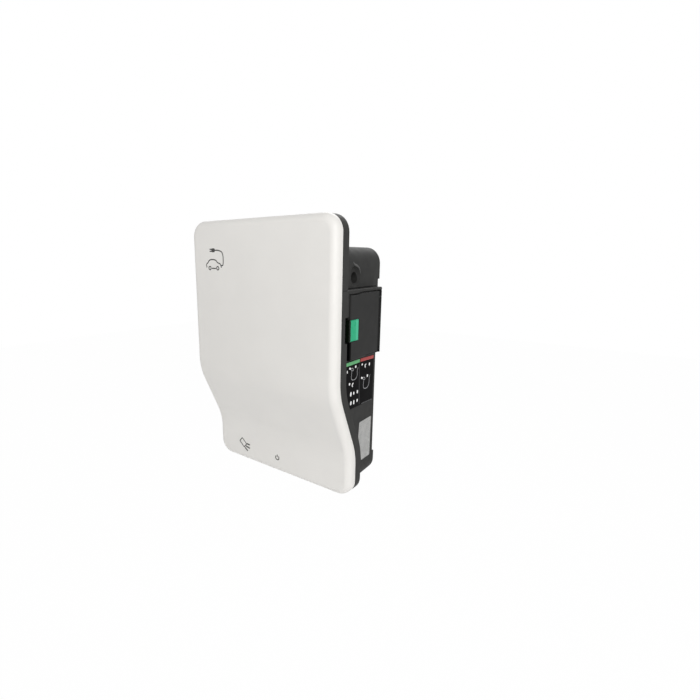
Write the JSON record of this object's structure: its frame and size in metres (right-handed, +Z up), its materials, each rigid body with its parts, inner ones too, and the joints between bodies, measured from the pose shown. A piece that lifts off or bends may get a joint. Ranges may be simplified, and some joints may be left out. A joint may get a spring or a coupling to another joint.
{
  "type": "ev wallbox",
  "caption": "Wall-mounted electric-vehicle charging box with a white stepped front cover, a dark drafted rear base and a side socket behind a hinged flap with a green latch.",
  "frame": {"origin": "on the wall plane, at the centre of the four wall screw holes", "axes": "+X to the viewer's right, +Y back into the wall, +Z up; the front face looks to -Y"},
  "size_m": [0.331, 0.17, 0.48],
  "materials": {
    "rubber_black": "matt",
    "bezel_grey": "matt",
    "connector_white": "moulded",
    "zinc_steel": "zinc plated",
    "standoff_brass": "nickel plated",
    "component_black": "moulded",
    "carrier_black": "satin",
    "contact_metal": "silver plated",
    "contactor_grey": "moulded",
    "board_green": "lacquered",
    "earth_brass": "bright",
    "wire_green": "insulated",
    "flap_grey": "matt",
    "bright_steel": "ground",
    "cover_white": "satin",
    "frame_grey": "matt",
    "label_black": "printed film",
    "latch_green": "satin",
    "clear_guide": "clear",
    "socket_black": "matt",
    "label_grey": "printed film",
    "base_grey": "matt",
    "relay_blue": "moulded",
    "wire_black": "insulated",
    "terminal_grey": "moulded"
  },
  "bodies": {
    "housing": {"base_seal": "rubber_black", "bezel_strip": "bezel_grey", "board_connectors": "connector_white", "board_screws": "zinc_steel", "board_standoffs": "standoff_brass", "cable_grommet": "rubber_black", "capacitors": "component_black", "contact_carrier": "carrier_black", "contact_sleeves": "contact_metal", "contactor": "contactor_grey", "contactor_screws": "zinc_steel", "control_board": "board_green", "cover_screws": "zinc_steel", "earth_screws": "zinc_steel", "earth_terminal": "earth_brass", "earth_wire": "wire_green", "flange_seal": "rubber_black", "flap_hinge_pin": "bright_steel", "frame_screws": "zinc_steel", "front_cover": "cover_white", "front_frame": "frame_grey", "indicator_board": "board_green", "instruction_label": "label_black", "leakage_sensor": "component_black", "light_guide": "clear_guide", "lock_actuator": "socket_black", "mounting_rail": "zinc_steel", "power_supply": "component_black", "processor_can": "zinc_steel", "rating_label": "label_grey", "reader_board": "board_green", "rear_base": "base_grey", "relays": "relay_blue", "side_screws": "zinc_steel", "signal_wires": "wire_black", "small_board_screws": "zinc_steel", "socket_back": "socket_black", "socket_bezel": "bezel_grey", "socket_screws": "zinc_steel", "socket_shell": "socket_black", "socket_wires": "wire_black", "supply_wires": "wire_black", "terminal_block": "terminal_grey", "terminal_screws": "zinc_steel"},
    "flap_door": {"flap": "flap_grey", "flap_seal": "rubber_black", "latch_pin": "bright_steel"},
    "latch_lever": {"latch": "latch_green"},
    "lock_bolt": {"lock_pin": "bright_steel"}
  },
  "joints": [
    {"name": "flap_hinge", "type": "hinge", "parent": "housing", "child": "flap_door", "pos_m": [0.16092, -0.0265, 0.087], "axis": [0, 0, 1], "range_deg": [0, 95]},
    {"name": "latch_rock", "type": "hinge", "parent": "flap_door", "child": "latch_lever", "pos_m": [0.16202, -0.1033, 0.082], "axis": [0, 0, 1], "range_deg": [0, 12], "stiffness_Nm_per_rad": 0.03},
    {"name": "plug_lock", "type": "slide", "parent": "housing", "child": "lock_bolt", "axis": [0, 0, -1], "range_m": [0, 0.007]}
  ]
}
